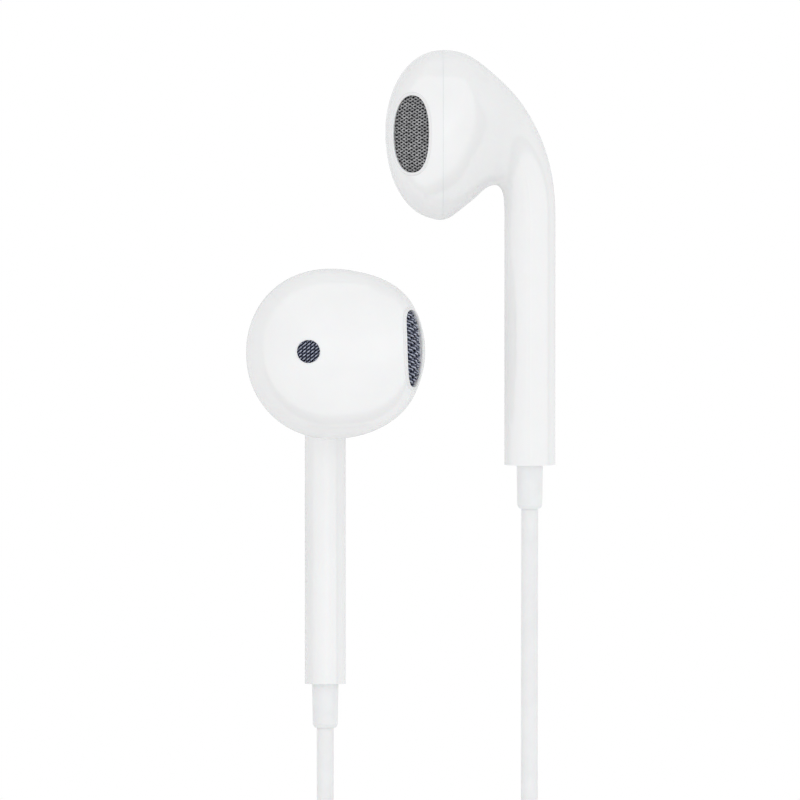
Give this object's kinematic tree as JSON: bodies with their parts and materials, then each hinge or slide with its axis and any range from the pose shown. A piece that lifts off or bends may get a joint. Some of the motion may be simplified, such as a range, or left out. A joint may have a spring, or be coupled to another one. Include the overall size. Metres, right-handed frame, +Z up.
{
  "type": "wired earphones",
  "caption": "Wired earphones: stemmed earbuds with oval side grilles, thin cords meeting at a splitter, an in-line remote, a slider and a 3.5 mm plug, cord wound in a tied hank.",
  "frame": {"origin": "on the table, at the middle of the two earbuds' footprint, cord left out", "axes": "+X across the two cords, +Y up the stems from the cords to the earbuds, +Z up from the table"},
  "size_m": [0.0414, 0.1497, 0.0179],
  "materials": {
    "shell_white": "polished, bright white",
    "mesh_grey": "dark grey woven mesh",
    "inner_black": "black moulding",
    "plated_steel": "nickel plated",
    "copper_wire": "enamelled copper",
    "film_clear": "thin moulded film",
    "soft_white": "soft satin white elastomer",
    "brass_crimp": "plain",
    "cord_white": "soft matte white jacket",
    "tie_grey": "matte",
    "board_green": "solder mask",
    "button_white": "satin",
    "gold_contact": "gold plated"
  },
  "bodies": {
    "cord_set": {"cord_hank": "cord_white", "cord_left": "cord_white", "cord_left_tail": "cord_white", "cord_main_head": "cord_white", "cord_main_tail": "cord_white", "cord_right_lower": "cord_white", "cord_right_tail": "cord_white", "cord_right_upper": "cord_white", "crimp_left": "brass_crimp", "crimp_right": "brass_crimp", "diaphragm_left": "film_clear", "diaphragm_right": "film_clear", "driver_carrier_left": "shell_white", "driver_carrier_right": "shell_white", "driver_frame_left": "inner_black", "driver_frame_right": "inner_black", "front_shell_left": "shell_white", "front_shell_right": "shell_white", "lead_left": "copper_wire", "lead_right": "copper_wire", "magnet_left": "plated_steel", "magnet_right": "plated_steel", "microphone": "plated_steel", "nozzle_grille_left": "mesh_grey", "nozzle_grille_right": "mesh_grey", "plug_grip": "shell_white", "plug_insulator": "inner_black", "plug_relief": "soft_white", "plug_ring_high": "gold_contact", "plug_ring_low": "gold_contact", "plug_sleeve": "gold_contact", "plug_tip": "gold_contact", "pole_plate_left": "plated_steel", "pole_plate_right": "plated_steel", "rear_shell_left": "shell_white", "rear_shell_right": "shell_white", "remote_back": "shell_white", "remote_board": "board_green", "remote_front": "shell_white", "splitter": "shell_white", "stem_cap_left": "shell_white", "stem_cap_right": "shell_white", "strain_relief_left": "soft_white", "strain_relief_right": "soft_white", "switch_down": "plated_steel", "switch_middle": "plated_steel", "switch_up": "plated_steel", "tie_left": "tie_grey", "tie_right": "tie_grey", "vent_mesh_left": "mesh_grey", "vent_mesh_right": "mesh_grey", "voice_coil_left": "copper_wire", "voice_coil_right": "copper_wire", "yoke_left": "plated_steel", "yoke_right": "plated_steel"},
    "slider": {"slider": "shell_white"},
    "button_up": {"button_up": "button_white"},
    "button_middle": {"button_middle": "button_white"},
    "button_down": {"button_down": "button_white"}
  },
  "joints": [
    {"name": "slider_slide", "type": "slide", "parent": "cord_set", "child": "slider", "axis": [0, 1, 0], "range_m": [-0.0015, 0.0085]},
    {"name": "button_up_press", "type": "slide", "parent": "cord_set", "child": "button_up", "axis": [0, 0, -1], "range_m": [0, 0.00025], "stiffness_N_per_m": 900, "springref_m": -0.0002},
    {"name": "button_middle_press", "type": "slide", "parent": "cord_set", "child": "button_middle", "axis": [0, 0, -1], "range_m": [0, 0.00025], "stiffness_N_per_m": 900, "springref_m": -0.0002},
    {"name": "button_down_press", "type": "slide", "parent": "cord_set", "child": "button_down", "axis": [0, 0, -1], "range_m": [0, 0.00025], "stiffness_N_per_m": 900, "springref_m": -0.0002}
  ]
}
